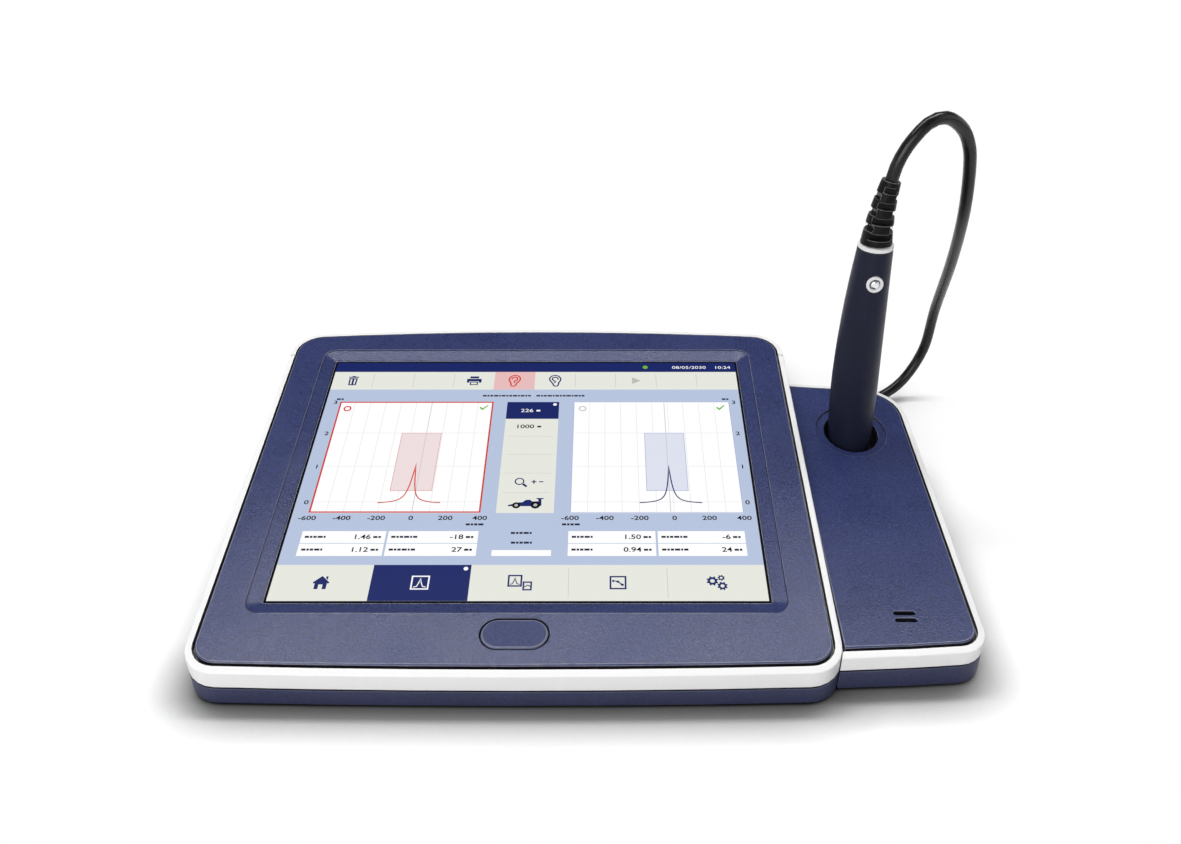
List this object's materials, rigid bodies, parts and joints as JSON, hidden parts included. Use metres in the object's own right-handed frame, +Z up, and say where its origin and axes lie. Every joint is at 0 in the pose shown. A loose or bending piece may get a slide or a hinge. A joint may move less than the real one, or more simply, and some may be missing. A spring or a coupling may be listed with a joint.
{
  "type": "tympanometer",
  "caption": "Desktop tympanometer: wedge console with a touch screen and an oval key, a side dock and a corded hand probe standing in its pocket.",
  "frame": {"origin": "on the table, under the middle of the console and dock together", "axes": "+X to the user's right, +Y away from the user, +Z up"},
  "size_m": [0.3614, 0.3103, 0.1955],
  "materials": {
    "panel": "fine-grained navy plastic",
    "base": "satin navy plastic",
    "white_trim": "smooth white plastic",
    "white_plastic": "smooth white plastic",
    "black_plastic": "satin black plastic",
    "black_rubber": "matt black rubber",
    "screen_glass": "clear touch glass over a lit display",
    "display": "flat display module",
    "sheet_steel": "plain sheet steel",
    "aluminium": "bare aluminium",
    "brass": "machined brass",
    "circuit_board": "green solder mask",
    "clear_tube": "soft translucent tube",
    "probe_shell": "satin dark navy plastic",
    "button_metal": "small polished dome",
    "cord_jacket": "smooth black cable jacket"
  },
  "bodies": {
    "console": {"base_pan": "base", "trim_frame": "white_trim", "rear_cover": "white_trim", "front_panel": "panel", "screen_gasket": "black_rubber", "touch_glass": "screen_glass", "display_panel": "display", "display_bracket": "sheet_steel", "switch_board": "circuit_board", "main_board": "circuit_board", "heat_spreader": "aluminium", "power_inlet": "black_plastic", "usb_port": "sheet_steel", "probe_socket": "black_plastic", "pump_bracket": "sheet_steel", "pump_motor": "sheet_steel", "pump_cylinder": "white_plastic", "valve_block": "brass", "air_tube": "clear_tube", "dock_base": "base", "dock_frame": "white_trim", "dock_plate": "panel", "probe_cup": "black_plastic", "dock_speaker": "black_plastic", "foot_1": "black_rubber", "foot_2": "black_rubber", "foot_3": "black_rubber", "foot_4": "black_rubber", "dock_foot_1": "black_rubber", "dock_foot_2": "black_rubber", "case_screw_1": "sheet_steel", "case_screw_2": "sheet_steel", "case_screw_3": "sheet_steel", "case_screw_4": "sheet_steel", "dock_screw_1": "sheet_steel", "dock_screw_2": "sheet_steel", "cord_coil": "cord_jacket", "cord_tail": "cord_jacket", "probe_plug": "black_plastic", "plug_boot": "black_rubber"},
    "power_button": {"power_button": "panel"},
    "pump_screw": {"pump_screw": "sheet_steel"},
    "pump_piston": {"pump_piston": "black_plastic"},
    "probe": {"probe_handle": "probe_shell", "probe_button_bezel": "white_plastic", "probe_core": "black_plastic", "probe_nose": "probe_shell", "probe_tip": "white_plastic", "probe_end_ring": "white_trim", "probe_strain_relief": "black_rubber", "probe_cord": "cord_jacket"},
    "probe_button": {"probe_button": "button_metal"}
  },
  "joints": [
    {"name": "power_button_press", "type": "slide", "parent": "console", "child": "power_button", "axis": [0, 0.1826, -0.9832], "range_m": [0, 0.0008], "stiffness_N_per_m": 600, "springref_m": -0.0004},
    {"name": "pump_screw_turn", "type": "hinge", "parent": "console", "child": "pump_screw", "pos_m": [0.0734, 0.06347, 0.0195], "axis": [-1, 0, 0], "range_deg": [0, 1080]},
    {"name": "pump_piston_travel", "type": "slide", "parent": "console", "child": "pump_piston", "axis": [-1, 0, 0], "range_m": [0, 0.015]},
    {"name": "probe_lift", "type": "slide", "parent": "console", "child": "probe", "axis": [0, 0, 1], "range_m": [0, 0.06]},
    {"name": "probe_button_press", "type": "slide", "parent": "probe", "child": "probe_button", "axis": [0, 1, 0], "range_m": [0, 0.0006], "stiffness_N_per_m": 500, "springref_m": -0.0003}
  ],
  "couplings": [
    {"joint": "pump_screw_turn", "follows": "pump_piston_travel", "rad_per_m": 1256.6}
  ]
}
